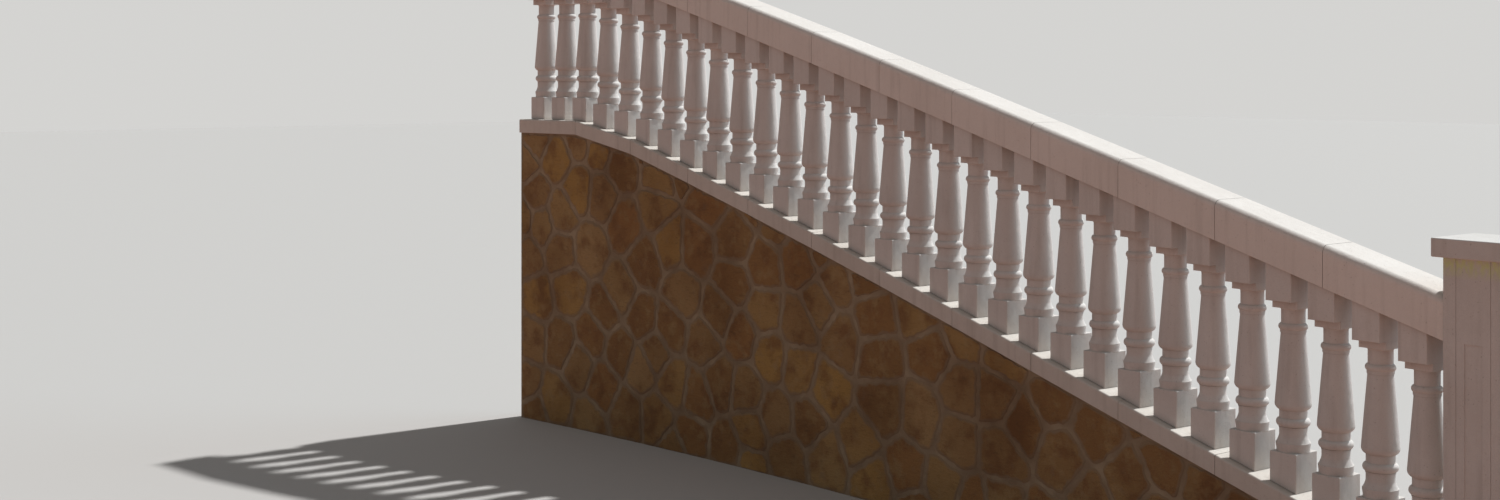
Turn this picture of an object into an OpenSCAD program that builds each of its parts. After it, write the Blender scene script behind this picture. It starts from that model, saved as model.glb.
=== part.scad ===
// Raked stone balustrade: turned balusters between a base rail and a handrail,
// ended by a square newel post, all carried on a stone-faced dwarf wall.
// Millimetres, +Z up. The origin is at ground level under the newel's centre.
// The run climbs towards -X in straight pieces and turns slightly towards -Y.

/* [Run] */
// Plan length of one rail piece, joint to joint
piece_len = 494; // [400:1:600]
// Plan length of the last piece, on the level landing
landing_len = 519; // [400:1:700]
// Rake of the flight, degrees
rake = 16; // [10:0.1:24]
// Rake of the eased piece just under the landing, degrees
eased_rake = 11.1; // [0:0.1:16]
// Turn of the landing piece away from the first piece, degrees
turn_total = 8; // [0:0.1:12]
// Number of straight pieces above the newel before the turn starts
straight_pieces = 4; // [1:1:8]
// How fast the turn tightens towards the landing
turn_growth = 1.25; // [1:0.05:3]
// Base rail top above ground, at the newel
start_h = 290; // [240:1:500]

/* [Base rail] */
// Width of the base rail
base_w = 220; // [190:1:260]
// Height of the base rail
base_h = 81; // [60:1:110]
// Radius of the base rail's upper edges
base_edge_r = 9; // [3:1:20]

/* [Handrail] */
// Width of the handrail
rail_w = 222; // [190:1:260]
// Height of the handrail
rail_h = 161; // [120:1:200]
// Radius of the handrail's upper edges
rail_edge_r = 32; // [10:1:40]

/* [Joints between rail pieces] */
// Width of the raked-out joint between two rail pieces
joint_w = 2; // [1:0.5:8]
// Depth to which that joint is raked out, all round the rail
joint_depth = 4; // [2:0.5:8]

/* [Balusters] */
// Distance between baluster centres along the run
baluster_pitch = 190; // [170:1:240]
// Newel face to the first baluster centre
first_baluster = 130; // [90:1:180]
// Opening height from the base rail's top to the handrail's underside
open_h = 851; // [790:1:900]
// Length of the foot block along the rail
foot_len = 120; // [110:1:150]
// Width of the foot block across the rail
foot_w = 138; // [120:1:170]
// Height of the foot block, at its centre
foot_h = 134; // [110:1:160]
// Length of the head block along the rail
head_len = 116; // [116:1:150]
// Setback of the head block behind the handrail's sides
head_setback = 12; // [0.5:0.5:30]
// Radius of the upright edges of both blocks
block_edge_r = 4; // [1:0.5:10]
// Height of the turned part between the two blocks
turned_h = 585; // [574:1:612]
// Thickness of the mortar bed at each end
bed_h = 2; // [1:0.5:5]
// Setback of the mortar bed behind the block faces
bed_inset = 5; // [4:0.5:10]

/* [Turned profile, from the foot upwards] */
// Radius of the lowest disc
disc_r = 63.5; // [52:0.5:66]
// Height of the lowest disc
disc_h = 10; // [4:0.5:18]
// Radius of the base ring's edge
ring_r = 66; // [56:0.5:70]
// Height of the base ring's upright edge
ring_edge_h = 8; // [3:0.5:10]
// Top of the base ring
ring_top = 34; // [29:0.5:42]
// Step back of the fillets above and below the hollow
fillet_step = 2; // [1:0.5:4]
// Radius of the waist above the base ring
waist_r = 50; // [42:0.5:52]
// Height of the waist above the base ring
waist_z = 88; // [76:1:90]
// Height of the fillet under the lower bead
fillet_h = 4; // [2:0.5:6]
// Radius of the lower bead
lower_bead_r = 65; // [58:0.5:68]
// Half height of the lower bead
lower_bead_half = 18; // [12:0.5:22]
// Height of the lower bead's centre
lower_bead_z = 112; // [110:1:122]
// Radius of the lower neck
lower_neck_r = 53; // [46:0.5:56]
// Greatest radius of the shaft
belly_r = 70; // [60:0.5:74]
// Height of the shaft's greatest radius
belly_z = 184; // [176:1:196]
// Rounding under the shaft's greatest radius
belly_round = 26; // [15:1:32]
// Radius at the top of the shaft
shaft_top_r = 47; // [40:0.5:54]
// Height of the top of the shaft
shaft_top_z = 459; // [426:1:466]
// Radius of the fillet under the upper bead
collar_r = 50; // [44:0.5:54]
// Radius of the upper bead
upper_bead_r = 56; // [52:0.5:62]
// Half height of the upper bead
upper_bead_half = 14.5; // [10:0.5:18]
// Height of the upper bead's centre
upper_bead_z = 482; // [476:1:491]
// Radius of the upper neck
upper_neck_r = 46; // [38:0.5:46.5]
// Radius of the cove between the upper neck and the abacus
cove_r = 10; // [2:0.5:10]

/* [Abacus, the square member under the head block] */
// Side of the abacus
abacus_w = 114; // [113:0.5:115]
// Height of the abacus
abacus_h = 30; // [18:1:40]

/* [Newel post] */
// Width of the newel shaft
newel_w = 230; // [200:1:280]
// Height of the newel's top above the handrail's top, at the newel
newel_rise = 206; // [150:1:300]
// Radius of the newel shaft's upright edges
newel_edge_r = 3; // [1:0.5:10]
// Width of the newel cap
cap_w = 290; // [250:1:340]
// Height of the newel cap
cap_h = 68; // [50:1:90]
// Radius of the newel cap's edges
cap_edge_r = 5; // [2:1:12]
// Distance of each upright groove from the shaft's corner
groove_off = 50; // [35:1:70]
// Width of each upright groove
groove_w = 3; // [2:0.5:10]
// Depth of each upright groove
groove_depth = 2.5; // [1:0.5:8]
// Width of the sunk panel
panel_w = 68; // [50:1:90]
// Depth of the sunk panel
panel_depth = 5; // [3:0.5:15]
// Top of the sunk panel below the cap
panel_drop = 300; // [200:1:400]
// Bottom of the sunk panel above ground
panel_foot = 400; // [300:1:600]
// Width of the newel's foot block
newel_foot_w = 280; // [250:1:330]
// Height of the newel's foot block
newel_foot_h = 150; // [80:1:190]

/* [Wall] */
// Thickness of the wall's rubble core under the base rail
wall_w = 188; // [160:1:230]

/* [Hidden] */
NODES = [
    "newel_foot", "newel_shaft", "newel_cap",
    "base_rail_01", "base_rail_02", "base_rail_03", "base_rail_04",
    "base_rail_05", "base_rail_06", "base_rail_07", "base_rail_08",
    "base_rail_09", "base_rail_10", "base_rail_11", "base_rail_12",
    "balusters_01", "balusters_02", "balusters_03", "balusters_04",
    "balusters_05", "balusters_06", "balusters_07", "balusters_08",
    "balusters_09", "balusters_10", "balusters_11", "balusters_12",
    "handrail_01", "handrail_02", "handrail_03", "handrail_04",
    "handrail_05", "handrail_06", "handrail_07", "handrail_08",
    "handrail_09", "handrail_10", "handrail_11", "handrail_12",
    "wall_01", "wall_02", "wall_03", "wall_04"
];
$fn = 96;

stone = [0.80, 0.76, 0.70];
newel_stone = [0.74, 0.71, 0.66];
wall_stone = [0.55, 0.46, 0.33];

// Index of the landing piece, the last, and of the eased piece before it
last = len([for (n = NODES) if (n[0] == "h") n]) - 1;
eased = last - 1;
// Rail pieces carried by one length of wall
wall_group = (last + 1) / len([for (n = NODES) if (n[0] == "w") n]);

spill = 150;            // stock beyond a piece's ends, before it is cut
bite = 3;               // how far a mortar bed runs into its block
lap = 1;                // overlap of the cuts that shape the wall and the newel
run_len = last * piece_len + landing_len;
tall = run_len;         // taller than any piece
head_z = foot_h + turned_h;
head_w = rail_w - 2 * head_setback;
newel_h = start_h + open_h + rail_h + newel_rise;
shaft_h = newel_h - cap_h - newel_foot_h;

// Hollow above the base ring: an arc from the ring's fillet in to the waist
scotia_drop = waist_z - ring_top;
scotia_in = ring_r - fillet_step - waist_r;
scotia_r = (scotia_drop * scotia_drop + scotia_in * scotia_in) / (2 * scotia_in);

// Where the run goes: one heading, slope and start point for each piece
function len_of(i) = i == last ? landing_len : piece_len;
function heading(i) = i < straight_pieces + 1 ? 0 :
    turn_total * pow((i - straight_pieces) / (last - straight_pieces), turn_growth);
function rake_of(i) = i < eased ? rake : (i == eased ? eased_rake : 0);
function slope(i) = tan(rake_of(i));
function start_x(i) = i == 0 ? -newel_w / 2 :
    start_x(i - 1) - len_of(i - 1) * cos(heading(i - 1));
function start_y(i) = i == 0 ? 0 :
    start_y(i - 1) - len_of(i - 1) * sin(heading(i - 1));
function start_z(i) = i == 0 ? start_h :
    start_z(i - 1) + len_of(i - 1) * slope(i - 1);

// Joint i is the lower end of piece i: half the turn there, and the corners of the wall
function half_turn(i) = i == 0 || i > last ? 0 : (heading(i) - heading(i - 1)) / 2;
function wall_corner(i, side) =
    let (across_joint = heading(min(i, last)) - half_turn(i),
         reach = side * wall_w / 2 / cos(half_turn(i)))
    [start_x(i) + reach * sin(across_joint), start_y(i) - reach * cos(across_joint)];

// Height of the rail line over local x, carried on past both joints
function line_z(i, x) =
    x < 0 && i > 0 ? x * slope(i - 1) :
    x > len_of(i) && i < last ? len_of(i) * slope(i) + (x - len_of(i)) * slope(i + 1) :
    x * slope(i);

// Local frame of a piece: x up the run, y to the stair side, z from the rail top
module at_piece(i) {
    translate([start_x(i), start_y(i), start_z(i)])
        rotate([0, 0, 180 + heading(i)])
            children();
}

// Plan of a piece with its mitred ends, each run on by extra
module piece_plan(i, w, extra = 0) {
    half = w / 2;
    low = half * tan(half_turn(i));
    high = half * tan(half_turn(i + 1));
    top = len_of(i) + extra;
    polygon([[-low - extra, -half], [top + high, -half], [top - high, half], [low - extra, half]]);
}

// A straight length of a moulded section, laid on the rake
module raked(i) {
    rotate([0, -rake_of(i), 0])
        rotate([90, 0, 90])
            translate([0, 0, -spill])
                linear_extrude((len_of(i) + 2 * spill) / cos(rake_of(i)))
                    children();
}

// Rectangle with rounded upper corners
module round_top(w, h, r) {
    translate([-w / 2, 0]) square([w, h - r]);
    translate([-w / 2 + r, 0]) square([w - 2 * r, h]);
    for (s = [-1, 1])
        translate([s * (w / 2 - r), h - r]) circle(r);
}

// All that stands between the two joints of a piece, each end moved out by extra
module between_joints(i, extra = 0) {
    translate([0, 0, -tall / 2])
        linear_extrude(tall)
            piece_plan(i, 2 * max(base_w, rail_w), extra);
}

// One rail piece. A core of its section meets its neighbours face to face, and the
// full section stops short of them, which leaves the joint raked out all round.
module rail_piece(i, w, h, edge_r) {
    intersection() {
        raked(i) round_top(w, h, edge_r);
        between_joints(i, -joint_w / 2);
    }
    intersection() {
        raked(i) translate([0, joint_depth])
            round_top(w - 2 * joint_depth, h - 2 * joint_depth, edge_r);
        between_joints(i);
    }
}

module base_rail(i) {
    color(stone) at_piece(i)
        translate([0, 0, -base_h])
            rail_piece(i, base_w, base_h * cos(rake_of(i)), base_edge_r);
}

module handrail(i) {
    color(stone) at_piece(i)
        translate([0, 0, open_h])
            rail_piece(i, rail_w, rail_h * cos(rake_of(i)), rail_edge_r);
}

// Half sections of the turned part's members, from the foot upwards
module base_ring() {
    square([disc_r, disc_h]);
    polygon([
        [0, disc_h], [disc_r, disc_h], [ring_r, ring_top - ring_edge_h],
        [ring_r, ring_top], [0, ring_top]
    ]);
}

module hollow() {
    difference() {
        translate([0, ring_top]) square([ring_r - fillet_step, scotia_drop]);
        translate([waist_r + scotia_r, waist_z]) circle(scotia_r);
    }
}

module bead(r, half, z) {
    translate([0, z - half]) square([r - half, 2 * half]);
    translate([r - half, z]) circle(half);
}

module shaft() {
    translate([belly_r - belly_round, belly_z]) circle(belly_round);
    polygon([[0, belly_z], [belly_r, belly_z], [shaft_top_r, shaft_top_z], [0, shaft_top_z]]);
}

module cove() {
    cove_z = turned_h - abacus_h - cove_r;
    difference() {
        translate([0, cove_z]) square([upper_neck_r + cove_r, cove_r]);
        translate([upper_neck_r + cove_r, cove_z]) circle(cove_r);
    }
}

module turned_profile() {
    fillet_z = lower_bead_z - lower_bead_half - fillet_h;
    base_ring();
    hollow();
    square([lower_neck_r, belly_z]);
    translate([0, fillet_z]) square([lower_neck_r + fillet_step, fillet_h]);
    bead(lower_bead_r, lower_bead_half, lower_bead_z);
    shaft();
    translate([0, shaft_top_z]) square([collar_r, upper_bead_z - shaft_top_z]);
    bead(upper_bead_r, upper_bead_half, upper_bead_z);
    square([upper_neck_r, turned_h]);
    cove();
}

// Rectangle with rounded corners, centred
module rounded_plan(l, w, r) {
    square([l - 2 * r, w], center = true);
    square([l, w - 2 * r], center = true);
    for (sx = [-1, 1]) for (sy = [-1, 1])
        translate([sx * (l / 2 - r), sy * (w / 2 - r)]) circle(r);
}

// Square step between the turned part and the head block
module abacus() {
    translate([0, 0, turned_h - abacus_h])
        linear_extrude(abacus_h) rounded_plan(abacus_w, abacus_w, block_edge_r);
}

// Side view given its width across the rail
module across(w) {
    rotate([90, 0, 0]) linear_extrude(w, center = true) children();
}

// Where the top or underside of a block bends: at a joint under it, or else at its middle
function knee(i, x, l) = x - l / 2 < 0 ? 0 : x + l / 2 > len_of(i) ? len_of(i) : x;

// The rail line over a block's length, raised by up, from its lower end to its upper
function line_points(i, x, l, up) =
    [for (p = [x - l / 2, knee(i, x, l), x + l / 2]) [p, line_z(i, p) + up]];

// Block of a baluster in its side view, with rounded upright edges
module block(x, l, w) {
    intersection() {
        across(w) children();
        translate([x, 0, -tall / 2]) linear_extrude(tall) rounded_plan(l, w, block_edge_r);
    }
}

// Mortar bed filling the joint at one end, inside its own piece
module bed(i, x, l, w, low, high) {
    half = l / 2 - bed_inset;
    intersection() {
        across(w - 2 * bed_inset) polygon([
            [x - half, slope(i) * (x - half) + low], [x + half, slope(i) * (x + half) + low],
            [x + half, slope(i) * (x + half) + high], [x - half, slope(i) * (x - half) + high]
        ]);
        between_joints(i);
    }
}

// One baluster standing at local x on piece i
module baluster(i, x) {
    mid_z = slope(i) * x;
    block(x, foot_len, foot_w) polygon(concat(
        line_points(i, x, foot_len, bed_h),
        [[x + foot_len / 2, mid_z + foot_h], [x - foot_len / 2, mid_z + foot_h]]
    ));
    translate([x, 0, mid_z + foot_h]) {
        rotate_extrude() turned_profile();
        abacus();
    }
    block(x, head_len, head_w) polygon(concat(
        [[x + head_len / 2, mid_z + head_z], [x - head_len / 2, mid_z + head_z]],
        line_points(i, x, head_len, open_h - bed_h)
    ));
    bed(i, x, foot_len, foot_w, 0, bed_h + bite);
    bed(i, x, head_len, head_w, open_h - bed_h - bite, open_h);
}

// The balusters that stand on piece i
module balusters(i) {
    low = i * piece_len;
    first = ceil((low - first_baluster) / baluster_pitch);
    final = ceil((low + len_of(i) - first_baluster) / baluster_pitch) - 1;
    final_fit = min(final, floor((run_len - foot_len / 2 - first_baluster) / baluster_pitch));
    color(stone) at_piece(i)
        for (k = [first : final_fit])
            baluster(i, first_baluster + k * baluster_pitch - low);
}

// Space above the wall under one rail piece, down to the base rail's underside
module above_wall(i) {
    top = len_of(i) + spill;
    translate([0, 0, -base_h]) at_piece(i)
        intersection() {
            across(2 * wall_w) polygon([
                [-spill, -spill * slope(i)], [top, top * slope(i)],
                [top, tall], [-spill, tall]
            ]);
            translate([0, 0, -tall / 2]) linear_extrude(2 * tall) piece_plan(i, 2 * wall_w, lap);
        }
}

// One length of wall, from the ground to the base rail's underside
module wall(g) {
    first = g * wall_group;
    beyond = first + wall_group;
    color(wall_stone) difference() {
        linear_extrude(tall) polygon(concat(
            [for (i = [first : beyond]) wall_corner(i, 1)],
            [for (i = [beyond : -1 : first]) wall_corner(i, -1)]
        ));
        for (i = [first : beyond - 1]) above_wall(i);
        translate([-newel_foot_w / 2, -newel_foot_w / 2, -lap])
            cube([newel_foot_w, newel_foot_w, newel_foot_h + lap]);
    }
}

module newel_foot() {
    color(newel_stone)
        translate([-newel_foot_w / 2, -newel_foot_w / 2, 0])
            cube([newel_foot_w, newel_foot_w, newel_foot_h]);
}

// Plan of the shaft, with two upright grooves in each face
module grooved_plan() {
    difference() {
        rounded_plan(newel_w, newel_w, newel_edge_r);
        for (a = [0 : 90 : 270]) rotate(a)
            for (s = [-1, 1])
                translate([s * (newel_w / 2 - groove_off) - groove_w / 2, -newel_w / 2 - lap])
                    square([groove_w, groove_depth + lap]);
    }
}

module newel_shaft() {
    panel_h = newel_h - cap_h - panel_drop - panel_foot;
    color(newel_stone) difference() {
        translate([0, 0, newel_foot_h]) linear_extrude(shaft_h) grooved_plan();
        for (a = [0, 90, 180]) rotate([0, 0, a])
            translate([-panel_w / 2, -newel_w / 2 - lap, panel_foot])
                cube([panel_w, panel_depth + lap, panel_h]);
    }
}

module newel_cap() {
    inner = cap_w - 2 * cap_edge_r;
    color(newel_stone)
        translate([0, 0, newel_h - cap_h]) {
            linear_extrude(cap_h) square(inner, center = true);
            translate([0, 0, cap_edge_r])
                linear_extrude(cap_h - 2 * cap_edge_r) rounded_plan(cap_w, cap_w, cap_edge_r);
            for (z = [cap_edge_r, cap_h - cap_edge_r]) {
                for (a = [0, 90]) rotate([0, 0, a])
                    for (s = [-1, 1])
                        translate([s * inner / 2, 0, z])
                            rotate([90, 0, 0]) cylinder(h = inner, r = cap_edge_r, center = true);
                for (sx = [-1, 1]) for (sy = [-1, 1])
                    translate([sx * inner / 2, sy * inner / 2, z]) sphere(cap_edge_r);
            }
        }
}

module base_rail_01() { base_rail(0); }
module base_rail_02() { base_rail(1); }
module base_rail_03() { base_rail(2); }
module base_rail_04() { base_rail(3); }
module base_rail_05() { base_rail(4); }
module base_rail_06() { base_rail(5); }
module base_rail_07() { base_rail(6); }
module base_rail_08() { base_rail(7); }
module base_rail_09() { base_rail(8); }
module base_rail_10() { base_rail(9); }
module base_rail_11() { base_rail(10); }
module base_rail_12() { base_rail(11); }

module balusters_01() { balusters(0); }
module balusters_02() { balusters(1); }
module balusters_03() { balusters(2); }
module balusters_04() { balusters(3); }
module balusters_05() { balusters(4); }
module balusters_06() { balusters(5); }
module balusters_07() { balusters(6); }
module balusters_08() { balusters(7); }
module balusters_09() { balusters(8); }
module balusters_10() { balusters(9); }
module balusters_11() { balusters(10); }
module balusters_12() { balusters(11); }

module handrail_01() { handrail(0); }
module handrail_02() { handrail(1); }
module handrail_03() { handrail(2); }
module handrail_04() { handrail(3); }
module handrail_05() { handrail(4); }
module handrail_06() { handrail(5); }
module handrail_07() { handrail(6); }
module handrail_08() { handrail(7); }
module handrail_09() { handrail(8); }
module handrail_10() { handrail(9); }
module handrail_11() { handrail(10); }
module handrail_12() { handrail(11); }

module wall_01() { wall(0); }
module wall_02() { wall(1); }
module wall_03() { wall(2); }
module wall_04() { wall(3); }

newel_foot();
newel_shaft();
newel_cap();
base_rail_01();
base_rail_02();
base_rail_03();
base_rail_04();
base_rail_05();
base_rail_06();
base_rail_07();
base_rail_08();
base_rail_09();
base_rail_10();
base_rail_11();
base_rail_12();
balusters_01();
balusters_02();
balusters_03();
balusters_04();
balusters_05();
balusters_06();
balusters_07();
balusters_08();
balusters_09();
balusters_10();
balusters_11();
balusters_12();
handrail_01();
handrail_02();
handrail_03();
handrail_04();
handrail_05();
handrail_06();
handrail_07();
handrail_08();
handrail_09();
handrail_10();
handrail_11();
handrail_12();
wall_01();
wall_02();
wall_03();
wall_04();
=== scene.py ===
# A raked stone balustrade on its dwarf wall, dressed over the CAD frame. Metres, +Z up, the newel's
# foot at the origin, the near face towards -Y. The sections follow the order of building.
import math
import random

import bmesh
import bpy
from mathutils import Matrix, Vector


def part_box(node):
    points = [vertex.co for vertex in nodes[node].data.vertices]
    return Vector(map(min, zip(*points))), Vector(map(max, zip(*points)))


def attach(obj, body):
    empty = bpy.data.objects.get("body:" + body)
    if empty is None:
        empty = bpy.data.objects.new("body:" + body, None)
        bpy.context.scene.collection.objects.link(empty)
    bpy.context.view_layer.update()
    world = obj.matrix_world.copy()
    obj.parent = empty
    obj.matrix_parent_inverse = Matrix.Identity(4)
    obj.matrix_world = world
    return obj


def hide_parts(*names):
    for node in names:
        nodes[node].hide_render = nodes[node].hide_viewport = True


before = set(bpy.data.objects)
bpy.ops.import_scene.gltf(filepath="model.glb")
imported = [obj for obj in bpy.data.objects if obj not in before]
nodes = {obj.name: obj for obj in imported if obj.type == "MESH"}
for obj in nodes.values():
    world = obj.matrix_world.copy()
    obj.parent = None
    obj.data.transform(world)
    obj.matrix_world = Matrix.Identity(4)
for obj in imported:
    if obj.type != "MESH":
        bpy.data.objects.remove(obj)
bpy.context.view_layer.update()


# Dwarf wall, its core. Rubble packed in lime mortar and brought up to the rake under the base rail.
# Only the mortar shows, pressed into the joints between the facing stones.
WALL_NODES = [name for name in nodes if name.startswith("wall")]
MORTAR_PALE = (0.40, 0.31, 0.205, 1)
MORTAR_DARK = (0.28, 0.205, 0.13, 1)
# painted shade in the mortar's corners, standing also for dirt there
MORTAR_SHADE_AND_DIRT = (0.13, 0.09, 0.055, 1)
SAND_GRAINS = 340.0           # sand grains to the metre
DAMP = (0.66, 0.58, 0.52, 1)  # what damp leaves of a colour
GLOSS = 0.3                   # specular level of dry stone and mortar
HOLLOW_SAMPLES = 6            # rays by which a hollow is felt out


def add(tree, kind, inputs=None, **settings):
    """Add a node. An input that is given a socket is linked to it, any other value is set."""
    node = tree.nodes.new(kind)
    for name, value in settings.items():
        setattr(node, name, value)
    for key, value in (inputs or {}).items():
        if isinstance(value, bpy.types.NodeSocket):
            tree.links.new(value, node.inputs[key])
        else:
            node.inputs[key].default_value = value
    return node


def start_material(name, roughness):
    """An empty rough material: its node tree, its shader and its Object coordinates."""
    material = bpy.data.materials.new(name)
    material.use_nodes = True
    tree = material.node_tree
    shader = tree.nodes["Principled BSDF"]
    shader.inputs["Roughness"].default_value = roughness
    shader.inputs["Specular IOR Level"].default_value = GLOSS
    return material, tree, shader, add(tree, "ShaderNodeTexCoord").outputs["Object"]


def grain(tree, coords, scale, detail, stretch=(1, 1, 1)):
    """Noise from 0 to 1, with scale patches to the metre, squeezed by stretch along each axis."""
    if stretch != (1, 1, 1):
        coords = add(tree, "ShaderNodeMapping", {"Vector": coords, "Scale": stretch}).outputs[0]
    inputs = {"Vector": coords, "Scale": scale, "Detail": detail}
    return add(tree, "ShaderNodeTexNoise", inputs).outputs[0]


def ramp(tree, value, low, high, start=0.0, end=1.0):
    """Value between low and high, brought to start to end and held there."""
    limits = {"Value": value, "From Min": low, "From Max": high, "To Min": start, "To Max": end}
    return add(tree, "ShaderNodeMapRange", limits).outputs[0]


def math_node(tree, operation, a, b):
    """The operation's result on a and b, each of them a number or a socket."""
    return add(tree, "ShaderNodeMath", {0: a, 1: b}, operation=operation).outputs[0]


def mixed(tree, factor, a, b, blend="MIX"):
    """Colour a with b laid over it by factor."""
    inputs = {0: factor, 6: a, 7: b}
    return add(tree, "ShaderNodeMix", inputs, data_type="RGBA", blend_type=blend).outputs[2]


def hollows(tree, reach):
    """How deep in a corner a point lies: 0 in the open, towards 1 in a narrow hollow."""
    shade = add(tree, "ShaderNodeAmbientOcclusion", {"Distance": reach}, samples=HOLLOW_SAMPLES)
    return ramp(tree, shade.outputs["AO"], low=0.95, high=0.35)


def bumps(tree, height, depth, under=None):
    """Normal for a relief of the given depth in metres, over another one."""
    inputs = {"Height": height, "Distance": depth, "Strength": 1.0}
    if under is not None:
        inputs["Normal"] = under
    return add(tree, "ShaderNodeBump", inputs).outputs[0]


def weathered(tree, coords, colour):
    """Colour darkened in broad patches, where the wall stays damp and soot and moss hold on."""
    patches = ramp(tree, grain(tree, coords, scale=2.4, detail=5.0), low=0.44, high=0.68, end=0.8)
    return mixed(tree, patches, colour, DAMP, "MULTIPLY")


def lime_mortar():
    """Cloudy lime mortar full of sand, trowelled rough, darker in its corners by painted shade that
    stands also for dirt.
    """
    material, tree, shader, coords = start_material("lime_mortar", roughness=0.92)
    clouds = ramp(tree, grain(tree, coords, scale=9.0, detail=5.0), low=0.35, high=0.65)
    colour = mixed(tree, clouds, MORTAR_DARK, MORTAR_PALE)
    sand = grain(tree, coords, SAND_GRAINS, detail=2.0)
    colour = mixed(tree, ramp(tree, sand, low=0.55, high=0.75, end=0.4), colour, MORTAR_DARK)
    # Painted shade: the mortar darkens where it lies deep in a corner, standing also for dirt.
    shade_and_dirt = math_node(tree, "MULTIPLY", hollows(tree, reach=0.02), 0.12)
    colour = mixed(tree, shade_and_dirt, colour, MORTAR_SHADE_AND_DIRT)
    tree.links.new(weathered(tree, coords, colour), shader.inputs["Base Color"])
    trowelled = bumps(tree, grain(tree, coords, scale=40.0, detail=4.0), depth=0.004)
    tree.links.new(bumps(tree, sand, depth=0.0008, under=trowelled), shader.inputs["Normal"])
    return material


MORTAR = lime_mortar()
for name in WALL_NODES:
    nodes[name].data.materials.clear()
    nodes[name].data.materials.append(MORTAR)


# Facing stones. Split flagstones of ochre and brown sandstone, bedded flat on both faces of the
# core and fitted like a puzzle, each broken by hammer to suit its neighbours.
FOOT_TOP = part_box("newel_foot")[1].z
FOOT_BACK = -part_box("newel_foot")[0].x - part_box("newel_shaft")[1].x
TOP_MARGIN = 0.01             # a wall's corner this far above the newel's foot is one of its top
JOINT_SPAN = 0.1              # corners nearer than this along X belong to one joint
SPACING = (0.15, 0.27)        # least and greatest distance between the middles of two stones
NEIGHBOURS = 4 * SPACING[1]   # farther than this from its middle no stone meets another
TRIES = 6000                  # places tried for a stone's middle on each face
SMALLEST_STONE = 0.03         # narrower gaps are left to the mortar
JOINT_HALF = 0.0105           # half the width of a pointed joint
CORNER_CUT = 0.016            # how far a stone's corners are knocked off
CORNER_VARIES = (0.6, 1.6)    # least and greatest share of that
EDGE_STEP = 0.028             # spacing of the points along a stone's broken edge
EDGE_ROUGH = 0.006            # how far the broken edge wanders
SHORT_EDGE_SHARE = 0.4        # share of that on an edge too short for a second point
STONE_BITE = 0.003            # how far a stone's back is bedded in the mortar
STONE_PROUD = (0.002, 0.0045)  # how far the stones' faces stand out of it
EDGE_SHARE = 0.3              # share of that height below the worn edge
RINGS = ((0.95, 0.15), (0.87, 1.0), (0.66, 1.0), (0.38, 1.0))  # each ring's size, how clean it is
CLEFT = 0.0035                # relief of the split face
CLEFTS = 9.0                  # clefts to the metre
TOUCHING = 1e-5               # corners nearer than this are one
STONE_CREASE = 38             # an edge of a stone that bends by more degrees looks sharp
STONE_SEEDS = {-1: 11, 1: 29}
STONE_COLOURS = [             # from ochre through buff and grey to brown, all linear
    (0.44, 0.265, 0.085, 1), (0.37, 0.235, 0.10, 1), (0.27, 0.145, 0.055, 1),
    (0.41, 0.265, 0.12, 1), (0.25, 0.135, 0.05, 1), (0.35, 0.185, 0.07, 1),
]
RUST = (0.21, 0.10, 0.04, 1)
BUFF = (0.41, 0.28, 0.13, 1)
DARK_VEIN = (0.09, 0.055, 0.03, 1)


def wall_top_corners():
    """The wall's top corners from the newel up, one pair for each joint: near face, far face."""
    tops = []
    for name in WALL_NODES:
        tops += [v.co.copy() for v in nodes[name].data.vertices if v.co.z > FOOT_TOP + TOP_MARGIN]
    tops.sort(key=lambda p: -p.x)
    joints = [[tops[0]]]
    for p in tops[1:]:
        if joints[-1][0].x - p.x < JOINT_SPAN:
            joints[-1].append(p)
        else:
            joints.append([p])
    return [(min(j, key=lambda p: p.y), max(j, key=lambda p: p.y)) for j in joints]


def clipped(outline, point, away):
    """The part of a convex outline that doesn't lie beyond point in the direction away."""
    kept = []
    for a, b in zip(outline, outline[1:] + outline[:1]):
        depth_a = (a - point).dot(away)
        depth_b = (b - point).dot(away)
        if depth_a <= 0:
            kept.append(a)
        if depth_a * depth_b < 0:
            kept.append(a.lerp(b, depth_a / (depth_a - depth_b)))
    return kept


def stone_region(along, tops):
    """The face to be covered, in plan length and height, clear of the base rail."""
    high = max(tops)
    region = [Vector((0, 0)), Vector((along[-1], 0)), Vector((along[-1], high)), Vector((0, high))]
    region = clipped(region, Vector((JOINT_HALF, 0)), Vector((-1, 0)))
    region = clipped(region, Vector((along[-1] - JOINT_HALF, 0)), Vector((1, 0)))
    for a, b, top_a, top_b in zip(along, along[1:], tops, tops[1:]):
        up = Vector((top_a - top_b, b - a)).normalized()
        region = clipped(region, Vector((a, top_a)) - up * JOINT_HALF, up)
    return region


def least_span(outline):
    """The smaller of an outline's length and its height."""
    return min(max(c[k] for c in outline) - min(c[k] for c in outline) for k in (0, 1))


def stone_outlines(along, tops, rng):
    """Outlines of all the stones of one face: each takes the area nearest to its middle."""
    region = stone_region(along, tops)
    middles = []
    for _ in range(TRIES):
        p = Vector((rng.uniform(0, along[-1]), rng.uniform(0, max(tops))))
        if all((p - q).length > rng.uniform(*SPACING) for q in middles):
            middles.append(p)
    outlines = []
    for p in middles:
        outline = region
        for q in middles:
            if q is not p and (q - p).length < NEIGHBOURS:
                away = (q - p).normalized()
                outline = clipped(outline, (p + q) / 2 - away * JOINT_HALF, away)
        if outline and min(c.y for c in outline) < FOOT_TOP:
            outline = clipped(outline, Vector((FOOT_BACK + JOINT_HALF, 0)), Vector((-1, 0)))
        if len(outline) > 2 and least_span(outline) > SMALLEST_STONE:
            outlines.append(broken(outline, rng))
    return outlines


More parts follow.
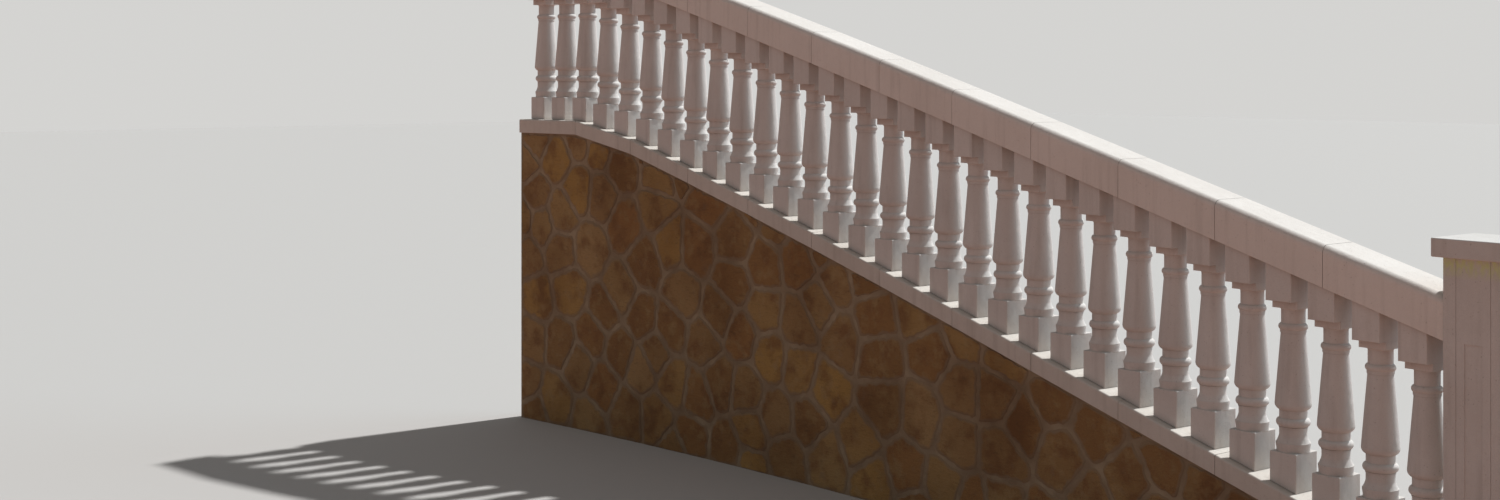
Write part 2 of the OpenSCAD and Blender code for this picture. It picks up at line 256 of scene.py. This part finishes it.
def broken(outline, rng):
    """The outline with its corners knocked off and its sides broken into a rough line."""
    points = []
    for before, corner, after in zip(outline[-1:] + outline[:-1], outline, outline[1:] + outline[:1]):
        for end in (before, after):
            reach = min(CORNER_CUT * rng.uniform(*CORNER_VARIES), (end - corner).length / 3)
            points.append(corner + (end - corner).normalized() * reach)
    rough = []
    for a, b in zip(points, points[1:] + points[:1]):
        steps = max(1, round((b - a).length / EDGE_STEP))
        share = SHORT_EDGE_SHARE if steps == 1 else 1
        for k in range(steps):
            wander = Vector((rng.uniform(-1, 1), rng.uniform(-1, 1))) * EDGE_ROUGH * share
            rough.append(a.lerp(b, k / steps) + wander)
    return rough


def relief_tree(material):
    """Geometry Nodes that give each flat outline its thickness, worn edge and split face."""
    tree = bpy.data.node_groups.new("split_stone_relief", "GeometryNodeTree")
    face = tree.interface
    face.new_socket("Geometry", in_out="INPUT", socket_type="NodeSocketGeometry")
    for name in ("Bite", "Edge share", "Cleft", "Clefts"):
        face.new_socket(name, in_out="INPUT", socket_type="NodeSocketFloat")
    face.new_socket("Geometry", in_out="OUTPUT", socket_type="NodeSocketGeometry")
    given = add(tree, "NodeGroupInput").outputs
    stored = add(tree, "GeometryNodeInputNamedAttribute", {"Name": "proud"}, data_type="FLOAT")
    proud = stored.outputs[0]
    edge_height = math_node(tree, "MULTIPLY", proud, given["Edge share"])
    place = add(tree, "GeometryNodeInputPosition").outputs[0]
    split = add(tree, "ShaderNodeTexNoise", {"Vector": place, "Scale": given["Clefts"], "Detail": 4.0})
    lift = math_node(tree, "SUBTRACT", split.outputs[0], 0.5)
    lift = math_node(tree, "MULTIPLY", lift, given["Cleft"])
    outwards = add(tree, "GeometryNodeInputNormal").outputs[0]
    offset = add(tree, "ShaderNodeVectorMath", {0: outwards, "Scale": lift}, operation="SCALE")
    rise = math_node(tree, "ADD", edge_height, given["Bite"])
    side = add(tree, "GeometryNodeExtrudeMesh", {"Mesh": given["Geometry"], "Offset Scale": rise})
    mesh = side.outputs["Mesh"]
    top = side.outputs["Top"]
    rise = math_node(tree, "SUBTRACT", proud, edge_height)
    for size, clean in RINGS:
        inputs = {"Mesh": mesh, "Selection": top, "Offset Scale": rise}
        ring = add(tree, "GeometryNodeExtrudeMesh", inputs)
        top = ring.outputs["Top"]
        inputs = {"Geometry": ring.outputs["Mesh"], "Selection": top, "Scale": size}
        smaller = add(tree, "GeometryNodeScaleElements", inputs, domain="FACE")
        inputs = {"Geometry": smaller.outputs[0], "Selection": top, "Offset": offset.outputs[0]}
        split_face = add(tree, "GeometryNodeSetPosition", inputs).outputs[0]
        inputs = {"Geometry": split_face, "Selection": top, "Name": "clean", "Value": clean}
        mesh = add(tree, "GeometryNodeStoreNamedAttribute", inputs).outputs[0]
        rise = 0.0
    back = add(tree, "GeometryNodeFlipFaces", {"Mesh": given["Geometry"]})
    whole = add(tree, "GeometryNodeJoinGeometry", {"Geometry": back.outputs[0]})
    tree.links.new(mesh, whole.inputs[0])
    inputs = {"Geometry": whole.outputs[0], "Distance": TOUCHING}
    closed = add(tree, "GeometryNodeMergeByDistance", inputs)
    real = add(tree, "GeometryNodeRealizeInstances", {"Geometry": closed.outputs[0]})
    done = add(tree, "GeometryNodeSetMaterial", {"Geometry": real.outputs[0], "Material": material})
    add(tree, "NodeGroupOutput", {"Geometry": done.outputs[0]})
    return tree


def sandstone():
    """Split sandstone, each stone in a colour of its own, veined and stained."""
    material, tree, shader, coords = start_material("split_sandstone", roughness=0.88)
    tone = add(tree, "ShaderNodeAttribute", attribute_name="tone").outputs["Fac"]
    beds = add(tree, "ShaderNodeValToRGB", {"Fac": tone})
    colours = beds.color_ramp
    colours.interpolation = "LINEAR"
    colours.elements[0].position = 0.0
    colours.elements[0].color = STONE_COLOURS[0]
    colours.elements[1].position = 1.0
    colours.elements[1].color = STONE_COLOURS[-1]
    for k, colour in enumerate(STONE_COLOURS[1:-1], 1):
        colours.elements.new(k / (len(STONE_COLOURS) - 1)).color = colour
    colour = beds.outputs["Color"]
    rusty = ramp(tree, grain(tree, coords, scale=8.0, detail=6.0), low=0.47, high=0.64, end=0.75)
    colour = mixed(tree, rusty, colour, RUST)
    pale = ramp(tree, grain(tree, coords, scale=15.0, detail=5.0), low=0.52, high=0.68, end=0.55)
    colour = mixed(tree, pale, colour, BUFF)
    veins = grain(tree, coords, scale=60.0, detail=6.0, stretch=(0.5, 0.5, 1.4))
    colour = mixed(tree, ramp(tree, veins, low=0.55, high=0.8, end=0.45), colour, DARK_VEIN)
    specks = grain(tree, coords, scale=380.0, detail=2.0)
    colour = mixed(tree, ramp(tree, specks, low=0.52, high=0.72, end=0.5), colour, DARK_VEIN)
    colour = mixed(tree, ramp(tree, specks, low=0.46, high=0.28, end=0.45), colour, BUFF)
    clean = add(tree, "ShaderNodeAttribute", attribute_name="clean").outputs["Fac"]
    smears = grain(tree, coords, scale=22.0, detail=4.0)
    smears = ramp(tree, smears, low=0.3, high=0.7, start=-0.35, end=0.35)
    smears = ramp(tree, math_node(tree, "ADD", clean, smears), low=0.85, high=0.1, end=0.85)
    colour = mixed(tree, smears, colour, MORTAR_DARK)
    tree.links.new(weathered(tree, coords, colour), shader.inputs["Base Color"])
    split = bumps(tree, veins, depth=0.003)
    rough = bumps(tree, grain(tree, coords, scale=260.0, detail=3.0), depth=0.0008, under=split)
    tree.links.new(rough, shader.inputs["Normal"])
    return material


def mesh_object(name, mesh):
    """A mesh as an object of the scene, at the origin."""
    piece = bpy.data.objects.new(name, mesh)
    bpy.context.scene.collection.objects.link(piece)
    return piece


def smooth(mesh, crease):
    """Smooth shading, but for edges that bend by more than crease degrees."""
    shape = bmesh.new()
    shape.from_mesh(mesh)
    for face in shape.faces:
        face.smooth = True
    for edge in shape.edges:
        edge.smooth = len(edge.link_faces) == 2 and edge.calc_face_angle() < math.radians(crease)
    shape.to_mesh(mesh)
    shape.free()


def facing_stones(name, side, tree):
    """All the stones on one face of the wall, side -1 for the near face or 1 for the far one."""
    rng = random.Random(STONE_SEEDS[side])
    corners = [pair[0] if side < 0 else pair[1] for pair in wall_top_corners()]
    along = [0.0]
    for a, b in zip(corners, corners[1:]):
        along.append(along[-1] + (b.xy - a.xy).length)
    shape = bmesh.new()
    tone = shape.verts.layers.float.new("tone")
    proud = shape.verts.layers.float.new("proud")
    for outline in stone_outlines(along, [c.z for c in corners], rng):
        own_tone = rng.random()
        own_proud = rng.uniform(*STONE_PROUD)
        verts = []
        for u, v in outline:
            k = max(k for k in range(len(along) - 1) if along[k] <= u or k == 0)
            plan = (corners[k + 1].xy - corners[k].xy).normalized()
            outwards = Vector((plan.y, -plan.x)) * side
            spot = corners[k].xy + plan * (u - along[k]) - outwards * STONE_BITE
            vert = shape.verts.new((spot.x, spot.y, max(v, 0.0)))
            vert[tone] = own_tone
            vert[proud] = own_proud
            verts.append(vert)
        shape.faces.new(verts if side > 0 else verts[::-1])
    flat = bpy.data.meshes.new(name)
    shape.to_mesh(flat)
    shape.free()
    maker = mesh_object(name + "_outlines", flat)
    modifier = maker.modifiers.new("relief", "NODES")
    modifier.node_group = tree
    sizes = {"Bite": STONE_BITE, "Edge share": EDGE_SHARE, "Cleft": CLEFT, "Clefts": CLEFTS}
    for item in tree.interface.items_tree:
        if item.in_out == "INPUT" and item.name in sizes:
            modifier[item.identifier] = sizes[item.name]
    seen = maker.evaluated_get(bpy.context.evaluated_depsgraph_get())
    mesh = bpy.data.meshes.new_from_object(seen)
    bpy.data.objects.remove(maker)
    smooth(mesh, STONE_CREASE)
    piece = mesh_object(name, mesh)
    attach(piece, "root")


STONE_RELIEF = relief_tree(sandstone())
facing_stones("facing_stones_stair_side", -1, STONE_RELIEF)
facing_stones("facing_stones_garden_side", 1, STONE_RELIEF)


# Base rail. Lengths of cast stone bedded on the wall, butted with vertical joints that were raked
# out. The mix is white cement with crushed pale stone, tamped into moulds and left matt.
ARRIS_BEND = 40               # an edge sharper than this many degrees is an arris
ARRIS_FACETS = 2              # facets across a rounded arris
FLAT_BEND = 0.05              # faces that bend by fewer degrees are one flat face
CAST_CREASE = 30              # an edge of cast stone that bends by more degrees looks sharp
BASE_ARRIS = 0.001            # rounding of the base rail's arrises
BASE_LIGHT = (0.72, 0.665, 0.60, 1)
BASE_DEEP = (0.63, 0.57, 0.505, 1)
# soil of rain streaks, air holes and level tops, and painted shade in corners and on undersides
STONE_SOIL_AND_SHADE = (0.20, 0.15, 0.11, 1)
STONE_GRIT = (0.33, 0.28, 0.24, 1)
STONE_CHIP = (0.82, 0.78, 0.72, 1)
AIR_CELLS = 105.0             # cells to the metre, of which about one in eight holds an air hole
MIX_SEED = 5                  # for the tone of each batch of the mix


def cast_stone(name, light, deep, shade_and_soil_strength=0.35, level_soil_and_shade_strength=0.0):
    """Cast stone: a cloudy cement skin with grit, air holes, rain streaks and soiled level tops, with
    painted shade deep in its corners and on its undersides; the corners' shade stands also for soil.
    """
    material, tree, shader, coords = start_material(name, roughness=0.82)
    tone = add(tree, "ShaderNodeAttribute", attribute_name="tone").outputs["Fac"]
    batch = math_node(tree, "MULTIPLY", tone, 0.4)
    clouds = ramp(tree, grain(tree, coords, scale=3.1, detail=4.0), low=0.35, high=0.65, end=0.6)
    colour = mixed(tree, math_node(tree, "ADD", clouds, batch), deep, light)
    mottle = grain(tree, coords, scale=34.0, detail=5.0)
    colour = mixed(tree, ramp(tree, mottle, low=0.5, high=0.8, end=0.35), colour, deep)
    grit = grain(tree, coords, scale=620.0, detail=1.0)
    colour = mixed(tree, ramp(tree, grit, low=0.60, high=0.72, end=0.45), colour, STONE_GRIT)
    colour = mixed(tree, ramp(tree, grit, low=0.40, high=0.28, end=0.45), colour, STONE_CHIP)
    normal = add(tree, "ShaderNodeNewGeometry").outputs["Normal"]
    slope = add(tree, "ShaderNodeSeparateXYZ", {0: normal}).outputs["Z"]
    upright = ramp(tree, math_node(tree, "ABSOLUTE", slope, 0.0), low=0.7, high=0.3)
    streaks = grain(tree, coords, scale=26.0, detail=4.0, stretch=(1, 1, 0.06))
    streaks = ramp(tree, streaks, low=0.52, high=0.78, end=0.2)
    colour = mixed(tree, math_node(tree, "MULTIPLY", streaks, upright), colour, STONE_SOIL_AND_SHADE)
    # Level faces darken, tops and undersides alike: soil on the tops, painted shade on the undersides.
    level_soil_and_shade = ramp(tree, upright, low=1.0, high=0.0, end=level_soil_and_shade_strength)
    colour = mixed(tree, level_soil_and_shade, colour, STONE_SOIL_AND_SHADE)
    cells = add(tree, "ShaderNodeTexVoronoi", {"Vector": coords, "Scale": AIR_CELLS})
    holed = add(tree, "ShaderNodeSeparateColor", {0: cells.outputs["Color"]}).outputs[0]
    holed = ramp(tree, holed, low=0.86, high=0.90)
    holes = ramp(tree, cells.outputs["Distance"], low=0.20, high=0.12)
    holes = math_node(tree, "MULTIPLY", holes, holed)
    colour = mixed(tree, math_node(tree, "MULTIPLY", holes, 0.45), colour, STONE_SOIL_AND_SHADE)
    # Painted shade: darker deep in corners, under rings and along grooves, standing also for soil.
    shade_and_soil = math_node(tree, "MULTIPLY", hollows(tree, reach=0.035), shade_and_soil_strength)
    colour = mixed(tree, shade_and_soil, colour, STONE_SOIL_AND_SHADE)
    tree.links.new(colour, shader.inputs["Base Color"])
    roughness = ramp(tree, mottle, low=0.3, high=0.7, start=0.74, end=0.92)
    tree.links.new(roughness, shader.inputs["Roughness"])
    skin = bumps(tree, grain(tree, coords, scale=14.0, detail=3.0), depth=0.003)
    skin = bumps(tree, mottle, depth=0.0012, under=skin)
    skin = bumps(tree, grit, depth=0.0004, under=skin)
    skin = bumps(tree, math_node(tree, "SUBTRACT", 1.0, holes), depth=0.0012, under=skin)
    tree.links.new(skin, shader.inputs["Normal"])
    return material


def arris_edges(shape):
    """The outward edges of a piece that are sharp enough to be arrises."""
    limit = math.radians(ARRIS_BEND)
    folds = [e for e in shape.edges if len(e.link_faces) == 2]
    return [e for e in folds if e.calc_face_angle_signed() > limit]


def set_tone(mesh, tones):
    """One tone for each vertex, by what tones gives for its place."""
    layer = mesh.attributes.new("tone", "FLOAT", "POINT")
    layer.data.foreach_set("value", [tones(v.co) for v in mesh.vertices])


def level_shading(piece):
    """Normals weighed by area, so that a flat face looks flat right up to its rounded edges."""
    weigh = piece.modifiers.new("weigh", "WEIGHTED_NORMAL")
    weigh.keep_sharp = True
    seen = piece.evaluated_get(bpy.context.evaluated_depsgraph_get())
    rough = piece.data
    piece.data = bpy.data.meshes.new_from_object(seen)
    piece.modifiers.remove(weigh)
    bpy.data.meshes.remove(rough)


def dressed(name, arris, material, tones, chosen=arris_edges):
    """The finished piece: the CAD solid with its chosen arrises rubbed round."""
    shape = bmesh.new()
    shape.from_mesh(nodes[name].data)
    bmesh.ops.remove_doubles(shape, verts=shape.verts, dist=TOUCHING)
    flat = math.radians(FLAT_BEND)
    bmesh.ops.dissolve_limit(shape, angle_limit=flat, verts=shape.verts, edges=shape.edges)
    bmesh.ops.bevel(shape, geom=chosen(shape), offset=arris, segments=ARRIS_FACETS, profile=0.5,
                    affect="EDGES")
    bmesh.ops.dissolve_degenerate(shape, dist=TOUCHING, edges=shape.edges)
    mesh = bpy.data.meshes.new("finished_" + name)
    shape.to_mesh(mesh)
    shape.free()
    smooth(mesh, CAST_CREASE)
    set_tone(mesh, tones)
    mesh.materials.append(material)
    piece = mesh_object("finished_" + name, mesh)
    level_shading(piece)
    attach(piece, "root")
    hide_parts(name)


BASE_STONE = cast_stone("cast_stone_base_rail", BASE_LIGHT, BASE_DEEP)
mix_rng = random.Random(MIX_SEED)
for name in [n for n in nodes if n.startswith("base_rail")]:
    batch = mix_rng.random()
    dressed(name, BASE_ARRIS, BASE_STONE, lambda place, batch=batch: batch)


# Balusters. Each is one casting of the same mix, from a two-part mould: a square foot block cut to
# the rake, turned rings and shaft, and a deep head block. They stand between beds of mortar.
BLOCK_ARRIS = 0.004           # rounding of the blocks' edges round their level faces
BALUSTER_GAP = 0.02           # clear space along X that parts two balusters
BLOCK_REACH = 0.085           # farther than this from the axis only blocks reach
LEVEL = 0.999                 # a face whose normal has this much of up or down is level
ALONG_RUN = 0.9               # an edge whose direction has this much of X runs with the rails
BALUSTER_LIGHT = (0.76, 0.72, 0.68, 1)
BALUSTER_DEEP = (0.67, 0.625, 0.585, 1)
BALUSTER_STONE = cast_stone("cast_stone_baluster", BALUSTER_LIGHT, BALUSTER_DEEP)


def middle(points):
    """The middle of the points' box."""
    return Vector([(min(p[k] for p in points) + max(p[k] for p in points)) / 2 for k in range(3)])


def baluster_axes(name):
    """Each baluster's axis in plan, with the height of its middle, found by the gaps between them."""
    places = sorted((v.co.copy() for v in nodes[name].data.vertices), key=lambda p: p.x)
    groups = [[places[0]]]
    for p in places[1:]:
        if p.x - groups[-1][-1].x > BALUSTER_GAP:
            groups.append([])
        groups[-1].append(p)
    return [middle(g) for g in groups]


def nearest(axes, place):
    """Which of the balusters stands nearest to a place."""
    return min(range(len(axes)), key=lambda k: (axes[k].xy - place.xy).length)


def block_edges(shape, axes):
    """The arrises round the foot blocks' tops, and those along the run under the head blocks."""
    found = []
    for edge in arris_edges(shape):
        a, b = [v.co for v in edge.verts]
        axis = axes[nearest(axes, a)]
        head = a.z > axis.z
        level = any(f.normal.z * (-1 if head else 1) > LEVEL for f in edge.link_faces)
        outer = max((a.xy - axis.xy).length, (b.xy - axis.xy).length) > BLOCK_REACH
        with_rails = abs((b - a).normalized().x) > ALONG_RUN
        if level and outer and (with_rails or not head):
            found.append(edge)
    return found


for name in [n for n in nodes if n.startswith("balusters")]:
    axes = baluster_axes(name)
    batches = [mix_rng.random() for _ in axes]
    dressed(name, BLOCK_ARRIS, BALUSTER_STONE,
            lambda place, axes=axes, batches=batches: batches[nearest(axes, place)],
            lambda shape, axes=axes: block_edges(shape, axes))


# Handrail. Heavy lengths of cast stone with a flat top and large rounded upper edges, bedded on
# the head blocks and butted with vertical joints like the base rail's.
RAIL_ARRIS = 0.001            # rounding of the handrail's sharp edges
# Painted light: the handrail's colours are paler than the balusters' mix, standing for the brighter
# light on its faces.
RAIL_PALE_PAINTED_BRIGHT = (0.87, 0.80, 0.74, 1)
RAIL_DEEP_PAINTED_BRIGHT = (0.79, 0.72, 0.66, 1)
RAIL_STONE = cast_stone("cast_stone_handrail", RAIL_PALE_PAINTED_BRIGHT, RAIL_DEEP_PAINTED_BRIGHT, level_soil_and_shade_strength=0.12)
for name in [n for n in nodes if n.startswith("handrail")]:
    batch = mix_rng.random()
    dressed(name, RAIL_ARRIS, RAIL_STONE, lambda place, batch=batch: batch)


# Newel post. A foot block, a square shaft with upright grooves and a sunk panel cast in its faces,
# and a flat cap with eased edges, of the same mix in a greyer cement.
NEWEL_LIGHT = (0.70, 0.665, 0.63, 1)
NEWEL_DEEP = (0.60, 0.56, 0.52, 1)
NEWEL_ARRISES = {"newel_foot": 0.004, "newel_shaft": 0.0008, "newel_cap": 0.001}
NEWEL_STONE = cast_stone("cast_stone_newel", NEWEL_LIGHT, NEWEL_DEEP, shade_and_soil_strength=0.05)
LICHEN = (0.65, 0.70, 0.32, 1)
LICHEN_REACH = 0.075          # how far down the shaft from the cap the lichen grows
LICHEN_FULL = 0.03            # and how far down it is full


def lichen_under_cap(material):
    """Thin yellow lichen on the shaft where the cap keeps the rain off, fading out downwards."""
    tree = material.node_tree
    skin = tree.nodes["Principled BSDF"].inputs["Base Color"]
    coords = add(tree, "ShaderNodeTexCoord").outputs["Object"]
    height = add(tree, "ShaderNodeSeparateXYZ", {0: coords}).outputs["Z"]
    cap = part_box("newel_cap")[0].z
    grown = ramp(tree, height, cap - LICHEN_REACH, cap - LICHEN_FULL)
    grown = math_node(tree, "MULTIPLY", grown, math_node(tree, "LESS_THAN", height, cap))
    patchy = grain(tree, coords, scale=70.0, detail=5.0, stretch=(1, 1, 0.5))
    patchy = ramp(tree, patchy, low=0.38, high=0.58, start=0.15, end=0.8)
    factor = math_node(tree, "MULTIPLY", grown, patchy)
    tree.links.new(mixed(tree, factor, skin.links[0].from_socket, LICHEN), skin)


lichen_under_cap(NEWEL_STONE)
for name, arris in NEWEL_ARRISES.items():
    batch = mix_rng.random()
    dressed(name, arris, NEWEL_STONE, lambda place, batch=batch: batch)


# Studio: a plain pale floor that runs into a backdrop of the same tone, a high key from the far
# side, a weaker, broad and cool light beside it for the open sky, and a soft light all round. The
# floor gives back a warmer and weaker light than the camera sees in it.
FLOOR_REACH = 60.0            # from the newel to the floor's edges
FLOOR_CORNERS = ((-1, -1), (1, -1), (1, 1), (-1, 1))
FLOOR_SEEN = (0.517, 0.488, 0.461, 1)
FLOOR_GIVES = (0.37, 0.20, 0.155, 1)
BACKDROP = (0.66, 0.655, 0.64, 1)
SKY = (0.95, 0.97, 1.0, 1)
SKY_STRENGTH = 0.22
KEY = (0.95, 0.98, 1.0)
KEY_STRENGTH = 3.9
KEY_SPREAD = 1.6              # degrees across the key light
TO_KEY = Vector((0.02, 0.615, 0.788))    # high over the far side, square to the run
SIDE = (0.50, 0.82, 1.0)
SIDE_STRENGTH = 0.80
SIDE_SPREAD = 45.0            # degrees across the side light
TO_SIDE = Vector((0.45, 0.82, 0.35))     # low over the far side, towards the newel's end


def seen_directly(tree):
    """1 for what the camera sees, also in a reflection or through glass, and 0 for other light."""
    path = add(tree, "ShaderNodeLightPath").outputs
    seen = math_node(tree, "MAXIMUM", path["Is Camera Ray"], path["Is Glossy Ray"])
    return math_node(tree, "MAXIMUM", seen, path["Is Transmission Ray"])


def far_light(name, colour, strength, spread, towards):
    """A light so far off that its rays are parallel, from the direction towards."""
    lamp = bpy.data.lights.new(name, "SUN")
    lamp.color = colour
    lamp.energy = strength
    lamp.angle = math.radians(spread)
    stand = bpy.data.objects.new(name, lamp)
    stand.rotation_mode = "QUATERNION"
    stand.rotation_quaternion = towards.to_track_quat("Z", "Y")
    bpy.context.scene.collection.objects.link(stand)


floor_mesh = bpy.data.meshes.new("floor")
corners = [(x * FLOOR_REACH, y * FLOOR_REACH, 0) for x, y in FLOOR_CORNERS]
floor_mesh.from_pydata(corners, [], [(0, 1, 2, 3)])
floor = mesh_object("floor", floor_mesh)
floor_paint, tree, shader, _ = start_material("studio_floor", roughness=0.9)
floor_tone = mixed(tree, seen_directly(tree), FLOOR_GIVES, FLOOR_SEEN)
tree.links.new(floor_tone, shader.inputs["Base Color"])
floor_mesh.materials.append(floor_paint)

world = bpy.data.worlds.new("studio")
bpy.context.scene.world = world
world.use_nodes = True
tree = world.node_tree
light = tree.nodes["Background"]
light.inputs["Color"].default_value = SKY
light.inputs["Strength"].default_value = SKY_STRENGTH
backdrop = add(tree, "ShaderNodeBackground", {"Color": BACKDROP, "Strength": 1.0})
inputs = {0: seen_directly(tree), 1: light.outputs[0], 2: backdrop.outputs[0]}
either = add(tree, "ShaderNodeMixShader", inputs)
tree.links.new(either.outputs[0], tree.nodes["World Output"].inputs["Surface"])

far_light("key", KEY, KEY_STRENGTH, KEY_SPREAD, TO_KEY)
far_light("side", SIDE, SIDE_STRENGTH, SIDE_SPREAD, TO_SIDE)


# Camera: level, beyond the newel and on the near side, looking up the run. Its frame is shifted
# down, so that the uprights stay upright.
EYE = (3.39, -5.96, 2.10)
HEADING = 52                  # degrees from +Y, turned towards -X
LENS = 43.2                   # focal length in millimetres
SENSOR = 36.0                 # the frame's width in millimetres
FRAME_SHIFT = -0.12           # as a share of the frame's width

camera_data = bpy.data.cameras.new("camera")
camera_data.lens = LENS
camera_data.sensor_width = SENSOR
camera_data.sensor_fit = "HORIZONTAL"
camera_data.shift_y = FRAME_SHIFT
camera = bpy.data.objects.new("camera", camera_data)
camera.location = EYE
camera.rotation_euler = (math.radians(90), 0, math.radians(HEADING))
bpy.context.scene.collection.objects.link(camera)
bpy.context.scene.camera = camera
bpy.context.scene.view_settings.view_transform = "Standard"
